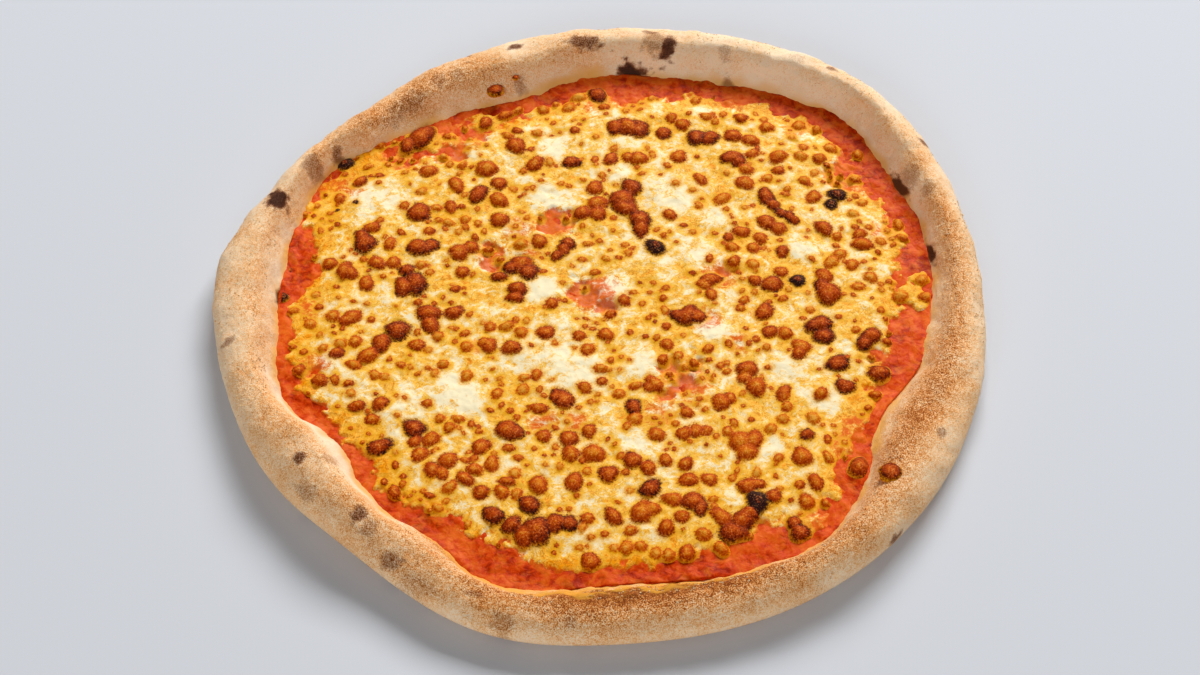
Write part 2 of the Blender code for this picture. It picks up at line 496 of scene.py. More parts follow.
@dataclass(frozen=True)
class TomatoFinish:
    """Cooked crushed tomato: a wet orange-red with darker pulp, streaked by oil."""

    bright: str = "EA6620"
    red: str = "D24006"
    dark: str = "9A1C00"
    oil: str = "EC7A1E"
    pulp_mm: float = 2.6
    streak_mm: float = 6.5
    pool_mm: float = 11.0
    roughness: float = 0.34

    def material(self) -> bpy.types.Material:
        """Return the finish as a material."""
        material, tree, surface = start_material("cooked_crushed_tomato")
        place = add_node(tree, "TexCoord").outputs["Object"]
        pulp = add_node(tree, "TexNoise", {
            "Vector": place, "Scale": 1.0 / (self.pulp_mm * MM), "Detail": 5.0,
            "Roughness": 0.6, "Distortion": 0.6})
        pool = add_node(tree, "TexNoise", {
            "Vector": place, "Scale": 1.0 / (self.pool_mm * MM), "Detail": 2.0})
        streak = add_node(tree, "TexNoise", {
            "Vector": place, "Scale": 1.0 / (self.streak_mm * MM), "Detail": 4.0,
            "Roughness": 0.6, "Distortion": 1.2})
        blend = add_node(tree, "Math", {0: pulp, 1: pool}, operation="ADD")
        share = add_node(tree, "MapRange", {"Value": blend, "From Min": 0.75, "From Max": 1.25})
        colour = add_node(tree, "ValToRGB", {"Fac": share}, stops=(
            (0.0, self.dark), (1.0, self.bright), (0.45, self.red)))
        oil_share = add_node(tree, "MapRange", {
            "Value": streak, "From Min": 0.48, "From Max": 0.70, "To Max": 0.60})
        feed(tree, surface, {
            "Base Color": add_node(tree, "Mix", {0: oil_share, 6: colour, 7: linear(self.oil)},
                                   data_type="RGBA"),
            "Roughness": self.roughness,
            "Specular IOR Level": MATT_SPECULAR,
            "Specular Tint": linear(self.bright),
            "Normal": add_node(tree, "Bump", {
                "Height": pulp, "Strength": 0.5, "Distance": 0.8 * MM})})
        return material


@dataclass(frozen=True)
class BrownedCheeseFinish:
    """Melted low-moisture mozzarella: cream, stringy and oily, with toasted blister skins.

    Fat pools amber round each blister. The skins are dry and brown, darker at the edge partly from
    toasting and partly as painted shade,
    and their tops carry painted glints: pale flakes that stand in for highlights.
    """

    cream: str = "FFF0C8"
    butter: str = "FFC850"
    amber: str = "F79A06"
    rust: str = "E05414"
    pooled_fat: str = "FCC640"
    fried_fat: str = "E89C06"
    fried_edge: str = "BC6804"
    skin_light: str = "EBA436"
    skin_gold: str = "DC7A0C"
    skin_brown: str = "C64C06"
    skin_dark: str = "922A04"
    skin_coal: str = "2A1014"
    # Painted glint: this pale flake colour stands in for highlights on the skins.
    painted_glint: str = "EA9A54"
    mottle_mm: float = 0.7
    strand_mm: float = 2.2
    crease_mm: float = 3.6
    patch_mm: float = 5.0
    roughness: float = 0.40
    skin_roughness: float = 0.5

    def material(self) -> bpy.types.Material:
        """Return the finish as a material."""
        material, tree, surface = start_material("browned_mozzarella")
        place = add_node(tree, "TexCoord").outputs["Object"]
        reach, gap, toast, thin, gold = read_values(tree, "reach", "gap", "toast", "thin", "gold")
        mottle = self.swing(tree, place, self.mottle_mm, 0.4)
        strand = self.swing(tree, place, self.strand_mm, 1.8)
        patch = self.swing(tree, place, self.patch_mm, 0.8)
        # Melted cheese between the blisters, cream where thick and amber where fat pooled.
        melt_tone = self.total(tree, gold, (patch, 0.36), (strand, 0.24), (mottle, 0.06))
        melt = add_node(tree, "ValToRGB", {"Fac": melt_tone}, stops=(
            (0.0, self.cream), (1.0, self.amber), (0.45, self.butter)))
        # Fine creases that fried brown where the cheese is thin and fatty.
        crease = add_node(tree, "Math", {0: self.swing(tree, place, self.crease_mm, 1.4)},
                          operation="ABSOLUTE")
        crease_share = add_node(tree, "MapRange", {
            "Value": self.total(tree, crease, (gold, -0.30), (patch, -0.10)),
            "From Min": 0.06, "From Max": -0.16, "To Max": 0.62})
        # Sauce that shows through where the cheese is thin, in ragged strings.
        through_share = add_node(tree, "MapRange", {
            "Value": self.total(tree, thin, (patch, 0.32), (strand, 0.22), (mottle, 0.05)),
            "From Min": 0.32, "From Max": 0.92, "To Max": 0.86})
        # The ring of fat round each blister, fried darkest against the skin.
        ring_tone = self.total(tree, gap, (mottle, 0.45), (strand, 0.55))
        ring_place = add_node(tree, "MapRange", {
            "Value": ring_tone, "From Min": -0.5, "From Max": 2.0})
        ring = add_node(tree, "ValToRGB", {"Fac": ring_place}, stops=(
            (0.0, self.fried_edge), (1.0, self.pooled_fat), (0.34, self.fried_fat)))
        ring_share = add_node(tree, "MapRange", {
            "Value": ring_tone, "From Min": 2.8, "From Max": 0.1, "To Max": 0.92},
            interpolation_type="SMOOTHSTEP")
        # The toasted skin, mottled on top and darker at its edge, partly toasted and partly
        # painted shade, with painted glints as pale flakes.
        # Partly toasting and partly painted shade: the skin darkens towards its edge, as where the
        # dome turns away from the lamp.
        edge_toast_and_shade = add_node(tree, "MapRange", {
            "Value": reach, "From Min": 0.15, "From Max": 0.90, "To Min": -0.17, "To Max": 0.24})
        skin_tone = self.total(tree, toast, (edge_toast_and_shade, 1.0), (mottle, -0.14), (strand, -0.15))
        skin = add_node(tree, "ValToRGB", {"Fac": skin_tone}, stops=(
            (0.0, self.skin_light), (1.0, self.skin_coal), (0.25, self.skin_gold),
            (0.48, self.skin_brown), (0.76, self.skin_dark)))
        # Painted glints: pale flakes on the dome tops stand in for highlights.
        painted_glint_share = add_node(tree, "MapRange", {
            "Value": self.total(tree, mottle, (reach, -0.55)),
            "From Min": 0.12, "From Max": 0.60, "To Max": 0.40})
        glinted_skin = add_node(tree, "Mix", {0: painted_glint_share, 6: skin, 7: linear(self.painted_glint)},
                          data_type="RGBA")
        skin_share = add_node(tree, "MapRange", {
            "Value": self.total(tree, reach, (mottle, 0.08), (strand, 0.10)),
            "From Min": 1.28, "From Max": 0.84}, interpolation_type="SMOOTHSTEP")
        colour = melt
        for share, over in ((crease_share, linear(self.fried_edge)),
                            (through_share, linear(self.rust)), (ring_share, ring),
                            (skin_share, glinted_skin)):
            colour = add_node(tree, "Mix", {0: share, 6: colour, 7: over}, data_type="RGBA")
        depth = add_node(tree, "MapRange", {"Value": skin_share, "To Min": 0.18, "To Max": 0.42})
        feed(tree, surface, {
            "Base Color": colour,
            "Roughness": add_node(tree, "MapRange", {
                "Value": skin_share, "To Min": self.roughness, "To Max": self.skin_roughness}),
            "Specular IOR Level": MATT_SPECULAR,
            "Specular Tint": linear(self.pooled_fat),
            "Normal": add_node(tree, "Bump", {
                "Height": self.total(tree, mottle, (strand, 1.3)), "Strength": depth,
                "Distance": 0.13 * MM})})
        return material

    def swing(self, tree: bpy.types.NodeTree, place: bpy.types.NodeSocket, size: float,
              distortion: float) -> bpy.types.Node:
        """Add noise that swings between about -1 and 1.

        Args:
            tree: The material's node tree.
            place: Where the pattern is read.
            size: Width of the largest spots in millimetres.
            distortion: How far the spots are pulled into strings.

        Returns:
            The node that gives the noise.
        """
        pattern = add_node(tree, "TexNoise", {
            "Vector": place, "Scale": 1.0 / (size * MM), "Detail": 3.0, "Roughness": 0.6,
            "Distortion": distortion})
        return add_node(tree, "MapRange", {
            "Value": pattern, "From Min": 0.34, "From Max": 0.66, "To Min": -1.0})

    def total(self, tree: bpy.types.NodeTree, start: bpy.types.Node | bpy.types.NodeSocket,
              *parts: tuple[bpy.types.Node | bpy.types.NodeSocket, float]) -> bpy.types.Node:
        """Add weighted values onto a first one.

        Args:
            tree: The material's node tree.
            start: The first value.
            *parts: Each further value with its weight.

        Returns:
            The node that gives the sum.
        """
        so_far = start
        for value, weight in parts:
            so_far = add_node(tree, "Math", {0: value, 1: weight, 2: so_far},
                              operation="MULTIPLY_ADD")
        return so_far


class Toast(Enum):
    """How dark a cheese blister's skin has baked."""

    GOLD = 0.22
    BROWN = 0.42
    DARK = 0.60
    COAL = 1.00


# Blisters that stand out, as (x, y, radius) in millimetres.
BLISTERS: dict[Toast, Triples] = {
    Toast.COAL: (
        (23, 31, 4.2), (101, 61, 3.6), (98.5, 55.5, 2.8), (82, 13, 3.4), (60.5, -98.5, 4.6),
        (-110, 80, 3.4), (-131, 5, 2.6), (-104, 57, 1.2), (-112, 53, 0.9),
    ),
    Toast.DARK: (
        (-78, 96, 6.0), (-84, 91, 4.0), (-12, 80, 3.6), (-52, 61, 4.6), (-76.5, 51, 5.0),
        (-98.5, 33, 5.0), (-100, 37, 3.6), (-76, 31, 4.6), (-71, 32, 3.6), (-80, 18.5, 3.4),
        (-76, 11, 5.6), (-81, 9.5, 4.4), (-13.5, 33, 3.4), (-15, 30, 3.2), (-18, 26.5, 2.8),
        (-33, 21.5, 4.8), (-37, 20, 3.4), (-29.5, 17.5, 4.2), (-34, 8, 3.8), (-35, 3.5, 3.2),
        (-42, 15, 3.2), (12, 101, 5.0), (17, 100, 4.8), (7, 100.5, 4.0), (28, 97.5, 3.4),
        (42, 95, 4.4), (48, 94.5, 4.2), (57, 82.5, 4.4), (60, 80, 3.2), (13.5, 65, 4.4),
        (9.5, 58, 5.6), (11, 53, 4.8), (17, 46.5, 4.8), (17.5, 42, 4.2), (71, 60, 4.2),
        (73.5, 55.5, 3.2), (77, 50.5, 2.8), (80, 48.5, 3.0), (82, 46.5, 2.4), (71, 11, 4.2),
        (94, 6, 5.4), (92, 9, 3.8), (36, -5.5, 4.6), (32, -5.5, 3.4), (40, -6, 3.6),
        (89, -11, 5.2), (91, -17, 4.4), (110, -16.5, 4.2), (107, -20, 3.4), (95.5, -31, 4.4),
        (98, -42, 3.8), (112, -35, 4.2), (101, -81.5, 4.4), (-82, -13.5, 5.0), (-70, -5, 4.8),
        (-69, -11, 4.0), (-60, -4.5, 3.8), (-88.5, -20.5, 4.2), (-14.5, -49, 4.4),
        (-17.5, -47, 3.0), (-36.5, -64.5, 4.6), (-33, -65.5, 3.4), (-73, -63.5, 4.4),
        (-86.5, -71.5, 4.4), (-27, -100, 4.4), (-41, -104.5, 4.2), (-33.5, -109, 4.0),
        (-24, -112, 6.0), (-29, -114.5, 4.0), (-17, -109, 4.2), (-12, -109, 3.8),
        (19.5, -92.5, 4.2), (13.5, -52.5, 3.8), (36, -98.5, 4.4), (39, -101.5, 3.2),
        (51, -112, 4.8), (54.5, -107, 4.4), (57.5, -104, 3.2), (67, -96, 3.2), (3.5, -85.5, 4.0),
        (81.5, -66.5, 3.0), (74, -107.5, 2.8), (76, -112, 4.0), (-1, 121.5, 4.4),
    ),
    Toast.BROWN: (
        (-103, 69.5, 2.8), (-111, 59.5, 2.6), (-74, 75, 3.8), (-49, 76, 4.4), (-36.5, 89.5, 4.4),
        (-28, 79, 3.8), (-50, 104.5, 3.2), (-42, 109.5, 3.2), (-61.5, 66.5, 3.8), (-43, 58, 3.8),
        (-43, 67.5, 3.4), (-42.5, 46.5, 3.8), (-96, 42, 3.2), (-88, 33.5, 3.0), (-59, 28, 4.2),
        (-54, 31, 3.6), (-25.5, 34, 3.4), (-93, 22.5, 3.4), (-86, 22.5, 3.4), (-106, 18.5, 4.0),
        (-103, 17, 3.0), (-112.5, 22.5, 3.0), (-96.5, 11.5, 3.6), (-7.5, 50.5, 3.6),
        (-1, 56, 4.2), (-1, 50, 3.8), (-2.5, 65, 3.8), (16.5, 82, 3.8), (12, 83, 2.8),
        (4.5, 82, 3.6), (36, 102.5, 3.2), (58, 96, 3.8), (65.5, 93, 3.6), (62, 107, 3.2),
        (34, 83.5, 3.6), (63, 75.5, 3.2), (77, 83, 3.8), (95, 82, 2.8), (77, 75, 2.6),
        (62, 67.5, 3.8), (43, 70, 3.0), (91, 60, 3.4), (70.5, 45.5, 3.8), (75, 42, 3.4),
        (59.5, 40, 3.4), (67.5, 36.5, 3.0), (94.5, 42, 3.8), (110, 33, 3.8), (109.5, 38.5, 2.8),
        (75.5, 17.5, 2.8), (93, 15, 3.8), (64.5, 13, 2.8), (45.5, 13, 4.0), (43, 10.5, 3.0),
        (29.5, 49.5, 3.0), (69, -14.5, 3.0), (75, -15.5, 3.0), (67.5, -3.5, 3.8),
        (81.5, -22, 3.6), (80.5, -26, 3.0), (59, -34, 4.2), (58, -38, 3.0), (62.5, -43, 4.2),
        (73, -45.5, 3.4), (73, -48, 2.4), (88, -46.5, 2.8), (48, -50.5, 4.0), (52, -48, 2.4),
        (34.5, -55.5, 2.8), (22, -41, 3.6), (19.5, -43, 2.4), (2.5, -16, 3.2), (27, -21, 2.8),
        (33, -66, 3.2), (38, -65, 3.0), (42, -64.5, 2.2), (22, -66.5, 3.2), (55, -70, 4.6),
        (57, -75, 4.0), (60, -69, 4.2), (78.5, -77, 4.2), (12.5, -79, 3.8), (18.5, -83, 3.4),
        (34, -88, 3.6), (42, -87.5, 3.0), (33.5, -80.5, 3.0), (25.5, -79, 2.8), (28, -97.5, 3.6),
        (16, -103, 4.4), (20, -102, 3.0), (5, -105.5, 3.6), (25, -110.5, 3.4), (46.5, -105.5, 4.0),
        (57, -91, 3.8), (61, -90, 2.8), (83.5, -89, 3.2), (79.5, -98, 3.2), (33, -121.5, 3.4),
        (-101.5, -6.5, 3.8), (-104, -8.5, 3.0), (-93.5, -27, 4.2), (-74, -21.5, 3.0),
        (-22, -15, 3.4), (-45, -21.5, 3.4), (-47.5, -20, 2.4), (-36, -23, 3.8),
        (-112, -39, 3.2), (-87, -51, 3.4), (-96.5, -52, 3.0), (-24.5, -53.5, 3.2),
        (-12, -68.5, 3.8), (-22, -67, 3.0), (-66.5, -69, 3.4), (-72.5, -69.5, 2.8),
        (-70.5, -76, 3.4), (-59, -79, 3.8), (-46.5, -72.5, 3.8), (-2.5, -76, 4.4),
        (-11.5, -76, 3.8), (-10, -89.5, 4.0), (-24, -90.5, 3.8), (-36, -89, 2.8),
        (-65, -83.5, 3.6), (-61, -85, 2.6), (-48.5, -83.5, 3.2), (-42, -80.5, 3.2),
        (-52, -88, 3.2), (-46, -94, 3.2), (-38, -94, 3.0), (-79, -93, 2.8), (-5, -106.5, 2.8),
        (-3.5, -125, 3.8), (-90, -58.5, 2.8), (-121, -33, 2.8),
    ),
    Toast.GOLD: (
        (133.5, 14.5, 2.4), (134.5, 5.0, 2.9),
        (-36.5, 112.5, 2.4), (-25, 113, 2.8), (-13.5, 114, 3.0), (42.5, 119, 2.4),
        (35, 103, 2.0), (73, 101, 3.2), (87, 103, 2.8), (87, 83.5, 2.8), (95, 101, 2.2),
        (52, 58.5, 3.2), (126, 45, 2.6), (118, 35, 2.2), (63.5, 21.5, 2.4), (100, 27, 2.8),
        (105, 21.5, 2.6), (96.5, 22.5, 3.0), (112, 14.5, 2.6), (100, 37.5, 2.2),
        (123.5, 5.5, 3.2), (106.5, 10, 2.4), (112, 86, 2.4), (50, -65, 2.4), (67, -63.5, 2.4),
        (72, -59, 2.4), (84.5, -58, 2.8), (10, -119, 2.8), (15.5, -118.5, 2.4),
        (11.5, -111.5, 2.4), (39.5, -113.5, 2.8), (46, -119, 2.8), (21, -121.5, 2.4),
        (26, -122, 2.4), (14, -58.5, 3.0), (7.5, -46.5, 2.4), (-32, -15, 2.8), (-38, -11.5, 2.8),
        (-45, -11.5, 2.4), (-66, -16.5, 2.4), (-54, -22.5, 2.6), (-63, -31.5, 2.4),
        (-53.5, -37.5, 2.6), (-25.5, -37, 2.4), (-86.5, -37.5, 2.0), (-90.5, -37, 2.2),
        (-41, -46, 2.6), (-31, -44, 2.6), (-59.5, -63.5, 2.2), (-56, -59, 2.2), (-63, -59, 2.2),
        (-118.5, -9.5, 2.6), (-105, -20.5, 2.4), (-99, -19.5, 2.6), (-99, -31.5, 2.8),
    ),
}

# Stretches of thick pale cheese with few blisters, and thin ones where sauce shows, as
# (x, y, radius) in millimetres.
PALE_STRETCHES: Triples = (
    (-22, -27, 16), (-8, -35, 12), (-24, 8, 9), (-95, 60, 12), (-105, 62, 9), (-22, 86, 8),
    (-23, 60, 10), (-30, 100, 7), (12, 92, 7), (30, 62, 13), (48, 50, 8), (8, 74, 7),
    (-58, -47, 13), (-75, -52, 10), (67, -72, 7), (92, -48, 7), (76, -30, 8), (14, -70, 8),
    (46, -14, 8), (18, -30, 9), (5, 8, 9), (-112, -48, 8), (85, 30, 8), (44, 110, 6),
    (115, 95, 6), (40, 30, 8), (-108, -30, 6),
)
SAUCE_WINDOWS: Triples = (
    (-16, 47, 4.5), (-22, 45, 4.0), (-46, 29, 3.2), (-45.5, 23, 3.6), (-61, 102, 5.5),
    (-54, 98, 3.5), (-84, 84, 4.5), (-78, 88, 3.5), (-65, 86, 4.0), (-90, 86, 3.5),
    (52, 19, 2.6), (56, 20, 2.2), (103, 74, 4.5), (104, 69, 3.5), (-9, 9, 3.6), (-6, 3, 3.0),
    (3, -2, 3.2), (29, -33, 3.4), (34, -40, 3.0), (38, -31, 2.6), (27, -46, 2.6),
    (62, -114, 7.0), (55, -119, 5.0), (70, -114, 4.0), (112, -26, 3.6), (-115, -35, 2.2),
    (-113.5, -41, 1.8), (-94, -76, 3.0), (88, -100, 4.0), (-126, 14, 3.4),
)
STAINS: Triples = (
    (-2, 6, 13), (34, -38, 15), (-22, -60, 8), (-62, 92, 12), (-85, 84, 10), (-46, 28, 9),
    (-35, 42, 9), (-18, 45, 10), (50, 18, 11), (43, -8, 8), (24, -56, 9), (100, -64, 11),
    (96, -73, 8), (105, 76, 11), (112, 66, 9), (104, 102, 9), (86, 100, 8), (-108, 68, 9),
    (-122, 66, 7), (120, 40, 10), (-118, -2, 8), (-115, -30, 8), (-50, -22, 6), (66, -5, 6),
    (0, 118, 12), (14, 116, 8), (-30, 30, 10), (56, -20, 7), (98, -88, 8), (-66, -100, 7),
    (80, -108, 8), (-10, -60, 7), (60, 118, 8),
)

# Islands of cheese that melted apart from the rest, by the rim and on the sauce.
SPLATS: Triples = (
    (132, 4, 5.5), (133, 15, 4.5), (128, 9, 4.5), (-4, -125.5, 5.0), (90, -93, 4.0),
    (15, -121, 4.0), (-48, -111, 3.5), (113, -75, 4.5), (-110, 62, 6.0), (96, 92, 5.0),
    (120, -50, 3.5),
)


@dataclass
class TurnedPiece:
    """A closed round piece, made of rings of points from a lower to an upper pole."""

    name: str
    form: DoughForm
    ring: np.ndarray = field(init=False)
    turn: np.ndarray = field(init=False)

    def build(self, grid: np.ndarray) -> bpy.types.Object:
        """Roll a grid of cells into a ball and move its rings to the given points.

        Args:
            grid: Points in millimetres by ring and turn step. The first and the last ring
                are the poles.

        Returns:
            The piece, smooth shaded, with a map for baked colour.
        """
        rings, turns = grid.shape[:2]
        ball = bmesh.new()
        bmesh.ops.create_grid(ball, x_segments=turns, y_segments=rings - 3, size=0.5)
        keep_ring = ball.verts.layers.int.new("ring")
        keep_turn = ball.verts.layers.int.new("turn")
        seam: dict[int, list[bmesh.types.BMVert]] = {}
        for vert in ball.verts:
            vert[keep_ring] = 1 + round((vert.co.y + 0.5) * (rings - 3))
            vert[keep_turn] = round((vert.co.x + 0.5) * turns) % turns
            if vert[keep_turn] == 0:
                seam.setdefault(vert[keep_ring], []).append(vert)
        bmesh.ops.weld_verts(ball, targetmap={pair[0]: pair[1] for pair in seam.values()})
        for from_ring, pole in ((1, 0), (rings - 2, rings - 1)):
            hole = [edge for edge in ball.edges if edge.is_boundary
                    and all(vert[keep_ring] == from_ring for vert in edge.verts)]
            filled = bmesh.ops.edgeloop_fill(ball, edges=hole)
            fan = bmesh.ops.poke(ball, faces=filled["faces"])
            for vert in fan["verts"]:
                vert[keep_ring] = pole
        self.ring = np.array([vert[keep_ring] for vert in ball.verts])
        self.turn = np.array([vert[keep_turn] for vert in ball.verts])
        move_points(ball, self.form.placed(grid[self.ring, self.turn]))
        bmesh.ops.recalc_face_normals(ball, faces=ball.faces)
        for name in ("ring", "turn"):
            ball.verts.layers.int.remove(ball.verts.layers.int[name])
        mesh = to_mesh(self.name, ball)
        mesh.shade_smooth()
        self.map_rings(mesh, rings, turns)
        return to_object(self.name, mesh)

    def map_rings(self, mesh: bpy.types.Mesh, rings: int, turns: int) -> None:
        """Lay the mesh out flat: turn steps across, rings upwards.

        Args:
            mesh: The turned mesh.
            rings: How many rings there are.
            turns: How many turn steps there are.
        """
        corners, face, totals = read_corners(mesh)
        across = self.turn[corners].astype(float)
        widest = np.zeros(len(totals))
        np.maximum.at(widest, face, across)
        past_seam = (widest[face] > 0.5 * turns) & (across < 0.25 * turns)
        across = np.where(past_seam, across + turns, across)
        ring = self.ring[corners]
        at_pole = (ring == 0) | (ring == rings - 1)
        summed = np.bincount(face, weights=np.where(at_pole, 0.0, across))
        counted = np.maximum(np.bincount(face, weights=~at_pole), 1.0)
        across = np.where(at_pole, (summed / counted)[face], across)
        lay_out(mesh, 0.002 + 0.996 * np.column_stack((across / turns, ring / (rings - 1))))


@dataclass
class BakedCrust:
    """The dough: a turned form whose rim has lumps, wrinkles and scorch marks.

    Along a cross-section, a point's rim share is 0 at the foot and 1 at the inner edge.
    """

    form: DoughForm = field(default_factory=DoughForm)
    turn_steps: int = 960
    rim_steps: int = 94
    wall_reach: float = 3.2
    foot_share: float = 0.16
    side_share: float = 0.34
    under_share: float = 0.55
    floor_shares: tuple[float, ...] = (0.92, 0.7, 0.35)
    lumps: tuple[Ripple, ...] = (Ripple(1.0, 22.0, 3, 2), Ripple(0.32, 6.0, 5, 2))
    pores: Ripple = Ripple(0.16, 1.9, 8, 2)
    folds: Ripple = Ripple(1.0, 2.6, 21, 2)
    fried_strips: Ripple = Ripple(1.0, 3.4, 19, 2)
    uneven_bake: Ripple = Ripple(0.10, 18.0, 11, 2)
    ragged_char: Ripple = Ripple(0.40, 3.4, 14, 3)
    ragged_oil: Ripple = Ripple(0.07, 9.0, 17)
    front: tuple[float, float] = (275.0, 14.0)
    front_crease: tuple[float, float] = (252.5, 1.6)
    fold_height: float = 0.9
    crease_depth: float = 1.2
    oil_edge: float = 0.77
    front_oil_reach: float = 0.29
    bake_by_share: tuple[tuple[float, ...], tuple[float, ...]] = (
        (0.0, 0.16, 0.34, 0.50, 0.62, 0.80, 0.90, 1.0),
        (0.30, 0.16, 0.18, 0.28, 0.32, 0.20, 0.12, 0.16))

    def section(self, bearing: np.ndarray) -> tuple[np.ndarray, np.ndarray, np.ndarray]:
        """Work out the cross-section at every bearing.

        Args:
            bearing: Bearings in degrees, one for each turn step.

        Returns:
            Radius, height and rim share arrays, with a row for each ring from the underside's
            middle to the upper middle.
        """
        outer = self.form.outer.at(bearing)
        visible_inner = self.form.inner.at(bearing)
        inner = visible_inner - self.wall_reach
        crest_height = self.form.crest.at(bearing)
        bulge = self.form.bulge_share * crest_height
        inset = self.form.crest_share * (outer - visible_inner)
        base = self.form.base_thickness
        rows: list[tuple[np.ndarray, np.ndarray, float]] = [
            (0.0 * outer, 0.0 * outer, -1.0),
            (self.under_share * inner, 0.0 * outer, -1.0),
        ]
        for step in range(self.rim_steps + 1):
            share = step / self.rim_steps
            if share < self.foot_share:
                turn = 0.5 * math.pi * share / self.foot_share
                radius = outer - self.form.foot_inset * (1.0 - math.sin(turn))
                height = bulge * (1.0 - math.cos(turn))
            elif share < self.foot_share + self.side_share:
                turn = 0.5 * math.pi * (share - self.foot_share) / self.side_share
                radius = outer - inset * (1.0 - math.cos(turn))
                height = bulge + (crest_height - bulge) * math.sin(turn)
            else:
                way = (share - self.foot_share - self.side_share)
                way /= 1.0 - self.foot_share - self.side_share
                radius = outer - inset - (outer - inset - inner) * way
                height = base + (crest_height - base) * 0.5 * (1.0 + math.cos(math.pi * way))
            rows.append((radius, height, share))
        for share in (*self.floor_shares, 0.0):
            rows.append((share * inner, base + 0.0 * outer, 2.0))
        radius = np.array([row[0] for row in rows])
        height = np.array([row[1] for row in rows])
        shares = np.repeat(np.array([row[2] for row in rows])[:, None], len(bearing), axis=1)
        return radius, height, shares

    def build(self, finish: BakedDoughFinish) -> bpy.types.Object:
        """Build the crust with its relief, its masks and its finish."""
        bearing = np.arange(self.turn_steps) * 360.0 / self.turn_steps
        radius, height, share = self.section(bearing)
        grid = swung_round(bearing, radius, height)
        rings = len(radius)
        flat = grid.reshape(-1, 3)
        share = share.reshape(-1)
        on_rim = smooth(0.10, 0.24, share) * smooth(1.0, 0.90, share) * (share >= 0.0)
        rise = (self.lift(flat) + self.pores.at(flat) + self.wrinkles(flat, share)) * on_rim
        flat = flat + rise[:, None] * self.normals(grid).reshape(-1, 3)
        turned = TurnedPiece("baked_crust", self.form)
        piece = turned.build(flat.reshape(grid.shape))
        masks = self.masks(flat, np.tile(bearing, rings), share)
        set_values(piece, {name: values.reshape(rings, self.turn_steps)[turned.ring, turned.turn]
                           for name, values in masks.items()})
        piece.data.materials.append(finish.material())
        return piece

    def surface(self, bearing: float, distance: float) -> float:
        """Return the height of the rim's upper side at a place, in millimetres."""
        radius, height, share = (rows[:, 0] for rows in self.section(np.array([bearing])))
        upper = (share > self.foot_share) & (share <= 1.0)
        return float(np.interp(-distance, -radius[upper], height[upper]))

    def lift(self, places: np.ndarray) -> np.ndarray:
        """Return how far the dough's lumps rise at each point, in millimetres."""
        return sum(ripple.at(places) for ripple in self.lumps)

    def wrinkles(self, places: np.ndarray, share: np.ndarray) -> np.ndarray:
        """Return how far the folds along the near inner edge rise, in millimetres.

        Args:
            places: Points in millimetres.
            share: Each point's rim share.

        Returns:
            The rise at each point.
        """
        bearing = bearing_of(places)
        band = bell(bearing, *self.front) * smooth(0.46, 0.54, share)
        ridge = self.folds.at(places * np.array([0.35, 1.0, 1.0]))
        crease = bell(bearing, *self.front_crease) * smooth(0.20, 0.30, share)
        crease *= smooth(0.62, 0.50, share)
        return self.fold_height * band * ridge - self.crease_depth * crease

    def normals(self, grid: np.ndarray) -> np.ndarray:
        """Return the outward direction at each point, by ring and turn step."""
        along = np.roll(grid, -1, axis=1) - np.roll(grid, 1, axis=1)
        normal = np.cross(along, np.gradient(grid, axis=0))
        return normal / np.maximum(np.linalg.norm(normal, axis=-1, keepdims=True), 1e-9)

    def masks(self, places: np.ndarray, bearing: np.ndarray,
              share: np.ndarray) -> dict[str, np.ndarray]:
        """Work out where the dough is browned, scorched and oily, with painted light on the back
        inner wall.

        Args:
            places: Points in millimetres.
            bearing: Each point's bearing in degrees.
            share: Each point's rim share.

        Returns:
            Values named bake_and_light, char and oil, between 0 and 1.
        """
        bake_and_light = np.interp(share, *self.bake_by_share)
        # Browned stretches, and paler ones painted as light on the shaded back inner wall.
        for patch in BAKE_AND_LIGHT_STRETCHES:
            near = bell(turn_from(patch.bearing, bearing), 0.0, patch.spread)
            bake_and_light = bake_and_light + patch.amount * (near * bell(share, patch.level, patch.depth))
        bake_and_light = bake_and_light + self.uneven_bake.at(places)
        radius = np.hypot(places[:, 0], places[:, 1])
        ragged = 1.0 + self.ragged_char.at(places)
        char = np.zeros(len(places))
        for spot in SCORCHES:
            reach = spot.reach(bearing, radius) * ragged
            char = np.maximum(char, spot.strength * smooth(1.35, 0.55, reach))
        char = char * (share >= 0.05)
        front = bell(bearing, *self.front)
        edge = self.oil_edge + self.ragged_oil.at(places) - self.front_oil_reach * front
        oil = smooth(edge, edge + 0.12, share) * (share <= 1.5)
        fried = smooth(0.05, 0.25, self.fried_strips.at(places * np.array([0.4, 1.0, 1.0])))
        oil = oil * (1.0 - 0.9 * fried * front * smooth(0.86, 0.76, share))
        return {"bake_and_light": np.clip(bake_and_light, 0.0, 1.0), "char": char, "oil": np.clip(oil, 0.0, 1.0)}


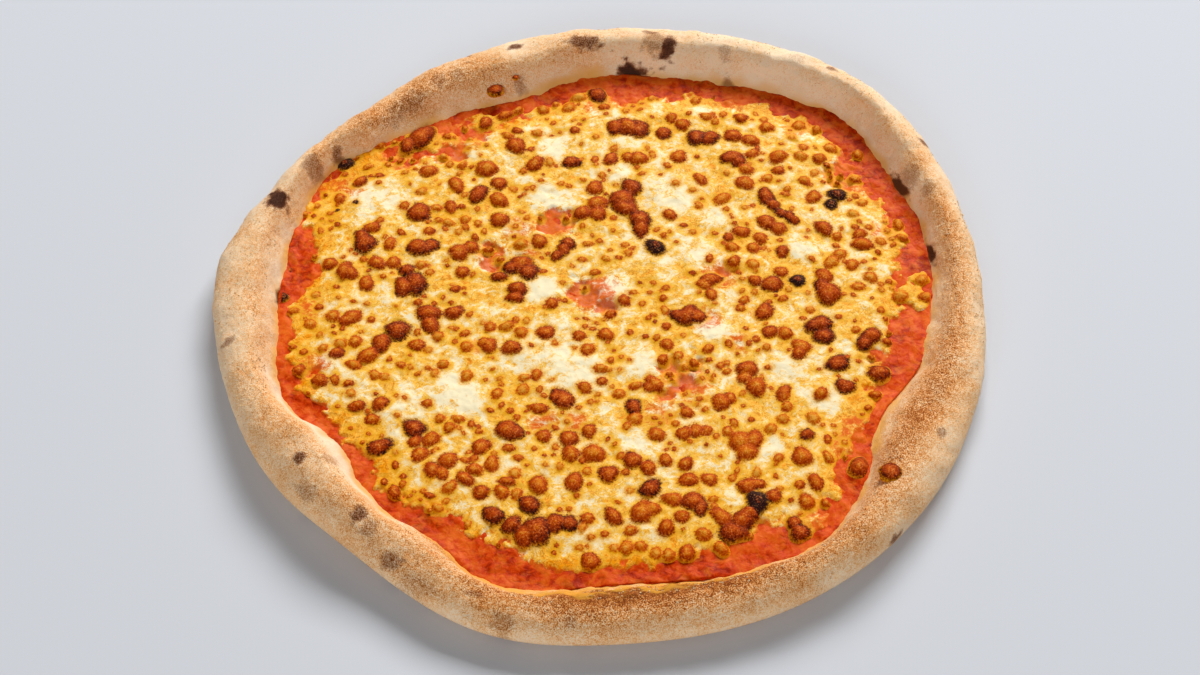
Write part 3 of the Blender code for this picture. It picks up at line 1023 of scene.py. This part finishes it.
@dataclass
class TomatoSauce:
    """The sauce: a thin wet spread that climbs a little where it meets the rim."""

    form: DoughForm = field(default_factory=DoughForm)
    turn_steps: int = 720
    edge_rings: int = 46
    inner_rings: int = 14
    edge_band: float = 0.72
    thickness: float = 1.5
    gap: float = 0.3
    overlap: float = 1.6
    climb: float = 0.5
    uneven_climb: Ripple = Ripple(0.9, 7.0, 35, 2)
    waves: tuple[Ripple, ...] = (Ripple(0.45, 9.0, 31, 2), Ripple(0.22, 2.4, 33, 2))

    def build(self, finish: TomatoFinish) -> bpy.types.Object:
        """Build the sauce with its ripples and its finish."""
        bearing = np.arange(self.turn_steps) * 360.0 / self.turn_steps
        edge = self.form.inner.at(bearing) + self.overlap
        bottom = self.form.base_thickness + self.gap
        rows = [(0.0 * edge, bottom), (0.6 * edge, bottom), (edge - 0.6, bottom)]
        shares = (*np.linspace(1.0, self.edge_band, self.edge_rings),
                  *np.linspace(self.edge_band, 0.0, self.inner_rings + 1)[1:])
        rows += [(share * edge, bottom + self.thickness) for share in shares]
        radius = np.array([row[0] for row in rows])
        height = np.repeat(np.array([row[1] for row in rows])[:, None], len(bearing), axis=1)
        grid = swung_round(bearing, radius, height)
        flat = grid.reshape(-1, 3)
        climb = self.climb * smooth(6.0, 0.5, (edge[None, :] - radius).reshape(-1))
        climb = climb * (1.0 + self.uneven_climb.at(flat))
        waves = sum(ripple.at(flat) for ripple in self.waves)
        flat[:, 2] += (flat[:, 2] > bottom + 0.1) * (climb + waves)
        piece = TurnedPiece("tomato_spread", self.form).build(flat.reshape(grid.shape))
        piece.data.materials.append(finish.material())
        return piece


@dataclass(frozen=True)
class Blister:
    """One bubble that baked in the cheese."""

    x: float
    y: float
    radius: float
    toast: float
    stretch: float
    turn: float
    phase: float
    height_share: float = 0.44
    least_height: float = 0.25
    roundness: float = 0.65
    sunk_share: float = 0.35

    def reach(self, dx: np.ndarray, dy: np.ndarray) -> np.ndarray:
        """Return how far points lie from the middle, in radii of the lobed outline.

        Args:
            dx: How far the points lie from the middle along X, in millimetres.
            dy: The same along Y.

        Returns:
            0 at the middle and 1 at the outline.
        """
        cosine, sine = math.cos(self.turn), math.sin(self.turn)
        along = (dx * cosine + dy * sine) / self.stretch
        across = (dy * cosine - dx * sine) * self.stretch
        angle = np.arctan2(across, along)
        lobes = 1.0 + 0.05 * np.sin(3.0 * angle + self.phase)
        lobes += 0.03 * np.sin(5.0 * angle - 2.0 * self.phase)
        return np.hypot(along, across) / (self.radius * lobes)

    def rise(self, reach: np.ndarray) -> np.ndarray:
        """Return the dome's height at each reach; a small blister's middle has sunk in."""
        height = self.height_share * self.radius + self.least_height
        sunk = self.sunk_share * smooth(2.6, 1.2, np.array(self.radius))
        dome = height * np.clip(1.0 - reach ** 2, 0.0, 1.0) ** self.roundness
        return dome * (1.0 - sunk * smooth(0.75, 0.1, reach))


@dataclass
class MeltedCheese:
    """The cheese: a thin melted sheet full of toasted blisters, open where sauce shows."""

    form: DoughForm = field(default_factory=DoughForm)
    outline: Outline = Outline(125.0, (
        (18.0, 5.0, 8.0), (44.0, 11.0, 12.0), (60.0, 8.0, 5.0), (86.0, 5.0, -9.0),
        (90.0, 3.0, 6.0), (107.0, 9.0, -12.0), (118.0, 3.0, 4.0), (150.0, 10.0, 8.0),
        (169.0, 5.0, -8.0), (217.0, 8.0, -8.0), (243.0, 7.0, -6.0), (266.0, 6.0, 3.0),
        (308.0, 5.0, 9.0), (342.0, 14.0, -8.0), (140.0, 9.0, 4.0), (158.0, 8.0, 3.0),
    ))
    sauce_level: float = 6.3
    sink: float = 0.7
    bottom: float = 5.6
    cells: int = 310
    margin: float = 15.0
    wall_overlap: float = 0.6
    thickness: float = 1.9
    small_blisters: int = 560
    most_tries: int = 40000
    widest: float = 138.0
    spill: float = 1.5
    closest: float = 0.98
    seed: int = 7
    toast_swing: float = 0.08
    named_stretch: tuple[float, float] = (0.82, 1.24)
    small_stretch: tuple[float, float] = (0.78, 1.22)
    small_radius: tuple[float, float] = (5.0, 0.29)
    radius_limits: tuple[float, float] = (0.9, 2.9)
    small_toast: tuple[float, float] = (0.27, 0.12)
    toast_limits: tuple[float, float] = (0.04, 0.52)
    pale_thinning: tuple[float, float] = (0.85, 2.0)
    string_height: float = 0.22
    pale_height: float = 0.4
    stain_share: float = 0.74
    torn_share: float = 1.05
    mid_gold: float = 0.38
    pale_gold: float = 0.42
    edge_gold: float = 0.4
    uneven_body: Ripple = Ripple(0.30, 14.0, 41, 2)
    strings: Ripple = Ripple(1.0, 4.5, 43, 2)
    grain: Ripple = Ripple(0.12, 1.8, 47)
    uneven_gold: Ripple = Ripple(0.22, 16.0, 51, 2)
    ragged_edge: tuple[Ripple, ...] = (
        Ripple(4.0, 11.0, 61, 3), Ripple(3.2, 5.0, 62, 2), Ripple(1.6, 2.6, 63, 2))
    torn: Ripple = Ripple(0.6, 4.2, 67, 2)
    warp: tuple[Ripple, Ripple] = (Ripple(0.6, 7.0, 73), Ripple(0.6, 7.0, 74))
    wrinkled_skin: Ripple = Ripple(0.12, 2.4, 71, 2)

    def blisters(self) -> list[Blister]:
        """Gather the named blisters and scatter small ones between them."""
        dice = np.random.default_rng(self.seed)
        found: list[Blister] = []
        for toast, places in BLISTERS.items():
            for x, y, radius in places:
                found.append(Blister(
                    x, y, radius, toast.value + dice.uniform(-self.toast_swing, self.toast_swing),
                    dice.uniform(*self.named_stretch), dice.uniform(0.0, math.pi),
                    dice.uniform(0.0, 2.0 * math.pi)))
        taken = np.array([(b.x, b.y, b.radius) for b in found])
        wanted = len(found) + self.small_blisters
        for _try in range(self.most_tries):
            if len(found) == wanted:
                break
            spin = dice.uniform(0.0, 2.0 * math.pi)
            reach = self.widest * math.sqrt(dice.uniform())
            x, y = reach * math.cos(spin), reach * math.sin(spin)
            if reach > self.outline.at(np.array([math.degrees(spin)]))[0] + self.spill:
                continue
            radius = float(np.clip(dice.gamma(*self.small_radius), *self.radius_limits))
            sparse = max(1.0 - math.hypot(x - px, y - py) / pr for px, py, pr in PALE_STRETCHES)
            most, slope = self.pale_thinning
            if sparse > 0.0 and dice.uniform() < min(most, slope * sparse):
                continue
            if np.any(apart_from(taken, x, y) < self.closest * (taken[:, 2] + radius)):
                continue
            toast = float(np.clip(dice.normal(*self.small_toast), *self.toast_limits))
            found.append(Blister(x, y, radius, toast, dice.uniform(*self.small_stretch),
                                 dice.uniform(0.0, math.pi), dice.uniform(0.0, 2.0 * math.pi)))
            taken = np.vstack((taken, (x, y, radius)))
        LOG.info("cheese blisters: %d", len(found))
        return found

    def disc(self) -> tuple[bpy.types.Mesh, np.ndarray]:
        """Make a square grid of cells and ease it into a disc.

        Returns:
            The closed mesh in grid form, and the disc place of each vertex from -1 to 1, where
            the third column is 1 on the upper sheet and 0 below it.
        """
        sheet = bmesh.new()
        bmesh.ops.create_grid(sheet, x_segments=self.cells, y_segments=self.cells, size=1.0)
        rim = [edge for edge in sheet.edges if edge.is_boundary]
        skirt = bmesh.ops.extrude_edge_only(sheet, edges=rim)["geom"]
        lower = [item for item in skirt if isinstance(item, bmesh.types.BMVert)]
        bmesh.ops.translate(sheet, verts=lower, vec=(0.0, 0.0, -1.0))
        loop = [item for item in skirt if isinstance(item, bmesh.types.BMEdge)]
        bmesh.ops.edgeloop_fill(sheet, edges=loop)
        bmesh.ops.recalc_face_normals(sheet, faces=sheet.faces)
        square = np.array([vert.co[:] for vert in sheet.verts])
        x, y = square[:, 0], square[:, 1]
        round_x = x * np.sqrt(1.0 - 0.5 * y * y)
        round_y = y * np.sqrt(1.0 - 0.5 * x * x)
        return (to_mesh("melted_cheese", sheet),
                np.column_stack((round_x, round_y, square[:, 2] > -0.5)))

    def build(self, finish: BrownedCheeseFinish) -> bpy.types.Object:
        """Build the cheese with its blisters, its masks and its finish."""
        mesh, disc = self.disc()
        bearing = bearing_of(disc)
        reach = np.hypot(disc[:, 0], disc[:, 1])
        room = self.form.inner.at(bearing) + self.wall_overlap
        edge = np.minimum(self.outline.at(bearing) + self.margin, room)
        plan = disc[:, :2] / np.maximum(reach, 1e-9)[:, None] * (reach * edge)[:, None]
        cover = self.coverage(plan, reach * edge, bearing)
        near, gap, toast, dome = self.relief(plan)
        pale = self.spread(plan, PALE_STRETCHES)
        body = self.thickness * (1.0 + self.uneven_body.at(plan))
        strings = 1.0 - 2.2 * np.abs(self.strings.at(plan))
        body = body + self.string_height * strings + self.grain.at(plan) + self.pale_height * pale
        inside = edge - self.margin - reach * edge
        body = body * (0.45 + 0.55 * smooth(0.0, 9.0, inside))
        lifted = np.maximum(cover, smooth(1.45, 0.95, near))
        sunk = self.sauce_level - self.sink
        height = sunk + (body + self.sink) * lifted + dome * smooth(0.0, 0.4, lifted)
        upper = disc[:, 2] > 0.5
        height = np.where(upper, height, self.bottom)
        height = np.where(upper & (reach > 0.999), sunk, height)
        places = self.form.placed(np.column_stack((plan, height)))
        mesh.vertices.foreach_set("co", places.astype(np.float32).ravel())
        mesh.update()
        mesh.shade_smooth()
        piece = to_object("melted_cheese", mesh)
        thin = self.stain_share * self.spread(plan, STAINS)
        thin = thin + self.torn_share * smooth(1.0, 0.4, cover)
        gold = self.mid_gold - self.pale_gold * pale + self.uneven_gold.at(plan)
        gold = gold + self.edge_gold * smooth(4.0, -3.0, inside)
        values = {"reach": near, "gap": gap, "toast": toast, "thin": thin, "gold": gold}
        set_values(piece, {name: np.clip(one, -1.0, 4.0) for name, one in values.items()})
        self.map_disc(mesh, disc)
        mesh.materials.append(finish.material())
        return piece

    def coverage(self, plan: np.ndarray, reach: np.ndarray,
                 bearing: np.ndarray) -> np.ndarray:
        """Work out where cheese covers the sauce.

        Args:
            plan: Points in millimetres.
            reach: Each point's distance from the middle in millimetres.
            bearing: Each point's bearing in degrees.

        Returns:
            Cover between 0, bare sauce, and 1, full cheese.
        """
        ragged = sum(ripple.at(plan) for ripple in self.ragged_edge)
        cover = smooth(-2.0, 4.5, self.outline.at(bearing) + 2.0 + ragged - reach)
        torn = self.torn.at(plan)
        for x, y, radius in SPLATS:
            apart = apart_from(plan, x, y) / radius
            cover = np.maximum(cover, smooth(1.15, 0.7, apart - 0.6 * torn))
        for x, y, radius in SAUCE_WINDOWS:
            gone = apart_from(plan, x, y) / (1.3 * radius)
            cover = np.minimum(cover, 0.3 + 0.7 * smooth(0.50, 1.45, gone + torn))
        return cover

    def spread(self, plan: np.ndarray, stretches: Triples) -> np.ndarray:
        """Work out how deep each point lies in the given stretches.

        Args:
            plan: Points in millimetres.
            stretches: Stretches as (x, y, radius).

        Returns:
            Depth between 0 and 1.
        """
        deep = np.zeros(len(plan))
        for x, y, radius in stretches:
            deep = np.maximum(deep, smooth(1.25, 0.35, apart_from(plan, x, y) / radius))
        return deep

    def relief(self, plan: np.ndarray) -> tuple[np.ndarray, ...]:
        """Work out the blisters' reach, toast and height at every point.

        Args:
            plan: Points in millimetres.

        Returns:
            The distance to the nearest blister in its radii, the gap to its edge in
            millimetres, its toast, and the rise in millimetres.
        """
        plan = plan + np.column_stack([ripple.at(plan) for ripple in self.warp])
        near = np.full(len(plan), 3.0)
        gap = np.full(len(plan), 4.0)
        toast = np.zeros(len(plan))
        dome = np.zeros(len(plan))
        for blister in self.blisters():
            away = np.abs(plan - (blister.x, blister.y))
            close = np.nonzero(np.all(away < 3.2 * blister.radius, axis=1))[0]
            reach = blister.reach(plan[close, 0] - blister.x, plan[close, 1] - blister.y)
            lip = 0.08 * bell(reach, 1.30, 0.14)
            dome[close] = np.maximum(dome[close], blister.rise(reach)) + lip
            toast[close] = np.where(reach < near[close], blister.toast, toast[close])
            near[close] = np.minimum(near[close], reach)
            gap[close] = np.minimum(gap[close], (reach - 1.0) * blister.radius)
        return near, gap, toast, dome * (1.0 + self.wrinkled_skin.at(plan))

    def map_disc(self, mesh: bpy.types.Mesh, disc: np.ndarray) -> None:
        """Lay the cheese out flat: the upper sheet as a disc, the underside in a corner.

        Args:
            mesh: The cheese's mesh.
            disc: The disc place of each vertex, with its sheet in the third column.
        """
        corners, face, totals = read_corners(mesh)
        place = disc[corners, :2]
        top = 0.5 + place * (0.485 + 0.008 * (1.0 - disc[corners, 2]))[:, None]
        under = (totals > 4)[face][:, None]
        lay_out(mesh, np.where(under, 0.055 + 0.05 * place, top))


@dataclass
class CheeseDrops:
    """Drops of cheese that fell on the rim and browned there, as (bearing, distance, radius)."""

    crust: BakedCrust
    drops: Triples = (
        (111.0, 129.0, 4.0), (320.5, 144.0, 4.6), (144.0, 136.5, 2.6), (106.5, 131.0, 1.6),
        (171.0, 131.5, 2.2), (127.5, 126.0, 2.2),
    )
    flatness: float = 0.50
    bumps: Ripple = Ripple(0.12, 3.0, 81, 2)
    toast: float = 0.58
    gold: float = 0.8

    def build(self, finish: BrownedCheeseFinish) -> bpy.types.Object:
        """Build the drops as one piece."""
        heap = bmesh.new()
        sizes: list[float] = []
        centres: list[np.ndarray] = []
        for bearing, distance, radius in self.drops:
            made = bmesh.ops.create_icosphere(heap, subdivisions=4, radius=radius)["verts"]
            sizes += [radius] * len(made)
            centres += [swung_round(bearing, distance,
                                    self.crust.surface(bearing, distance))] * len(made)
        around = np.array([vert.co[:] for vert in heap.verts])
        bumps = 1.0 + self.bumps.at(around + np.array(centres))
        around = around * bumps[:, None] * np.array([1.0, 1.0, self.flatness])
        move_points(heap, self.crust.form.placed(around + np.array(centres)))
        mesh = to_mesh("cheese_drops", heap)
        mesh.shade_smooth()
        piece = to_object("cheese_drops", mesh)
        across = np.hypot(around[:, 0], around[:, 1]) / np.array(sizes)
        none = np.zeros(len(across))
        set_values(piece, {
            "reach": 1.15 * np.where(around[:, 2] > 0.0, across, 1.0), "gap": none,
            "toast": none + self.toast, "thin": none, "gold": none + self.gold})
        mesh.materials.append(finish.material())
        return piece


@dataclass(frozen=True)
class SemolinaFinish:
    """Coarse durum semolina: dry, pale yellow grains, some of them toasted."""

    pale: str = "F8E2B8"
    toasted: str = "D9A05A"
    spread_mm: float = 2.0
    roughness: float = 0.8

    def material(self) -> bpy.types.Material:
        """Return the finish as a material."""
        material, tree, surface = start_material("durum_semolina")
        spread = add_node(tree, "TexNoise", {
            "Vector": add_node(tree, "TexCoord").outputs["Object"],
            "Scale": 1.0 / (self.spread_mm * MM), "Detail": 2.0})
        share = add_node(tree, "MapRange", {"Value": spread, "From Min": 0.4, "From Max": 0.65})
        feed(tree, surface, {
            "Base Color": add_node(tree, "Mix", {
                0: share, 6: linear(self.pale), 7: linear(self.toasted)}, data_type="RGBA"),
            "Roughness": self.roughness,
            "Specular IOR Level": MATT_SPECULAR})
        return material


@dataclass
class SemolinaGrains:
    """Grains of semolina from the peel, baked onto the rim."""

    crust: BakedCrust
    doublings: int = 12
    sizes: tuple[float, float] = (0.16, 0.34)
    levels: tuple[float, float] = (0.24, 0.72)
    rim_width: float = 20.0
    bare_along: float = 2.2
    bare_across: float = 2.6
    seed: int = 19

    def build(self, finish: SemolinaFinish) -> bpy.types.Object:
        """Build the grains as one piece."""
        heap = bmesh.new()
        bmesh.ops.create_icosphere(heap, subdivisions=1, radius=1.0)
        corners = len(heap.verts)
        for _doubling in range(self.doublings):
            bmesh.ops.duplicate(heap, geom=heap.verts[:] + heap.edges[:] + heap.faces[:])
        grains = 2 ** self.doublings
        dice = np.random.default_rng(self.seed)
        bearing, level = self.bare_places(dice, grains)
        radius, height, share = self.crust.section(bearing)
        rim = (share[:, 0] >= 0.0) & (share[:, 0] <= 1.0)
        distance, rise = (
            np.array([np.interp(level[n], share[rim, n], rows[rim, n]) for n in range(grains)])
            for rows in (radius, height))
        centre = swung_round(bearing, distance, rise)
        centre[:, 2] += self.crust.lift(centre)
        size = dice.uniform(*self.sizes, grains)[:, None] * dice.uniform(0.7, 1.3, (grains, 3))
        shape = np.array([vert.co[:] for vert in heap.verts]).reshape(grains, corners, 3)
        places = shape * size[:, None, :] + centre[:, None, :]
        move_points(heap, self.crust.form.placed(places.reshape(-1, 3)))
        piece = to_object("semolina_grains", to_mesh("semolina_grains", heap))
        piece.data.materials.append(finish.material())
        return piece

    def bare_places(self, dice: np.random.Generator,
                    wanted: int) -> tuple[np.ndarray, np.ndarray]:
        """Pick places on the rim away from the scorch marks.

        Args:
            dice: The seeded generator.
            wanted: How many places are needed.

        Returns:
            Bearings in degrees and rim shares.
        """
        bearing = dice.uniform(0.0, 360.0, 3 * wanted)
        level = dice.uniform(*self.levels, 3 * wanted)
        distance = self.crust.form.outer.at(bearing) - self.rim_width * level
        clear = np.ones(len(bearing), bool)
        for spot in SCORCHES:
            clear &= spot.reach(bearing, distance, self.bare_along, self.bare_across) > 1.0
        chosen = np.nonzero(clear)[0][:wanted]
        return bearing[chosen], level[chosen]


@dataclass(frozen=True)
class Softbox:
    """A wide soft lamp aimed at the middle, and its share of the light on the floor."""

    bearing: float
    elevation: float
    distance: float
    size: tuple[float, float]
    share: float


@dataclass
class Studio:
    """A pale floor, a low key lamp behind to the right, a weak fill in front, the camera."""

    floor_colour: str = "D5D8DE"
    floor_size: float = 6.0
    floor_roughness: float = 0.9
    camera_elevation: float = 51.0
    camera_distance: float = 0.950
    lens: float = 70.0
    sensor: float = 36.0
    target: tuple[float, float, float] = (0.0007, -0.0142, 0.006)
    softboxes: tuple[Softbox, ...] = (
        Softbox(72.0, 36.0, 3.6, (2.2, 1.2), 0.75),
        Softbox(255.0, 28.0, 3.6, (2.6, 1.6), 0.20),
    )
    sky_colour: str = "FFFFFF"
    sky_share: float = 0.11

    def build(self) -> None:
        """Build the floor, the lamps, the world and the camera."""
        self.floor()
        for number, softbox in enumerate(self.softboxes, 1):
            self.lamp(f"softbox_{number}", softbox)
        self.world()
        self.camera()
        bpy.context.scene.view_settings.view_transform = "Standard"

    def floor(self) -> None:
        """Build the floor that the pizza lies on."""
        slab = bmesh.new()
        bmesh.ops.create_grid(slab, x_segments=1, y_segments=1, size=0.5 * self.floor_size)
        floor = to_object("studio_floor", to_mesh("studio_floor", slab))
        material, tree, surface = start_material("painted_studio_floor")
        feed(tree, surface, {"Base Color": linear(self.floor_colour),
                             "Roughness": self.floor_roughness,
                             "Specular IOR Level": MATT_SPECULAR})
        floor.data.materials.append(material)

    def lamp(self, name: str, softbox: Softbox) -> None:
        """Build one soft lamp.

        Args:
            name: The lamp's name.
            softbox: Where it stands, how large it is and how much light it gives.
        """
        data = bpy.data.lights.new(name, "AREA")
        data.shape = "RECTANGLE"
        data.size, data.size_y = softbox.size
        rise = math.radians(softbox.elevation)
        data.energy = softbox.share * (math.pi * softbox.distance) ** 2 / math.sin(rise)
        self.aim(to_object(name, data), softbox.bearing, softbox.elevation, softbox.distance)

    def aim(self, thing: bpy.types.Object, bearing: float, elevation: float, distance: float,
            target: tuple[float, float, float] = (0.0, 0.0, 0.0)) -> None:
        """Stand a lamp or the camera off from a point and turn it to look there.

        Args:
            thing: The lamp or the camera.
            bearing: Where it stands, in degrees.
            elevation: How high it stands, in degrees.
            distance: How far away it stands, in metres.
            target: The point that it looks at.
        """
        turn, rise = math.radians(bearing), math.radians(elevation)
        way = Vector((math.cos(turn) * math.cos(rise), math.sin(turn) * math.cos(rise),
                      math.sin(rise)))
        thing.location = Vector(target) + way * distance
        thing.rotation_euler = (-way).to_track_quat("-Z", "Y").to_euler()

    def world(self) -> None:
        """Set an even white sky."""
        world = bpy.data.worlds.new("soft_sky")
        world.use_nodes = True
        sky = world.node_tree.nodes["Background"]
        sky.inputs["Color"].default_value = linear(self.sky_colour)
        sky.inputs["Strength"].default_value = self.sky_share
        bpy.context.scene.world = world

    def camera(self) -> None:
        """Place the camera that looks down on the pizza from the front."""
        data = bpy.data.cameras.new("camera")
        data.lens = self.lens
        data.sensor_width = self.sensor
        camera = to_object("camera", data)
        self.aim(camera, 270.0, self.camera_elevation, self.camera_distance, self.target)
        bpy.context.scene.camera = camera


def stand_for(piece: bpy.types.Object, node: str | None) -> None:
    """Tie a piece to the frame.

    Args:
        piece: The finished piece.
        node: The solid that it replaces, if any.
    """
    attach(piece, "root")
    if node:
        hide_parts(node)
    LOG.info("%s: %d faces", piece.name, len(piece.data.polygons))


def main() -> None:
    """Build the pizza's pieces and the studio in order."""
    logging.basicConfig(level=logging.INFO, format="%(message)s")
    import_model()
    crust = BakedCrust()
    cheese_finish = BrownedCheeseFinish()
    stand_for(crust.build(BakedDoughFinish()), "crust")
    stand_for(TomatoSauce().build(TomatoFinish()), "tomato_sauce")
    stand_for(MeltedCheese().build(cheese_finish), "cheese")
    stand_for(CheeseDrops(crust).build(cheese_finish), None)
    stand_for(SemolinaGrains(crust).build(SemolinaFinish()), None)
    Studio().build()


if __name__ == "__main__":
    main()
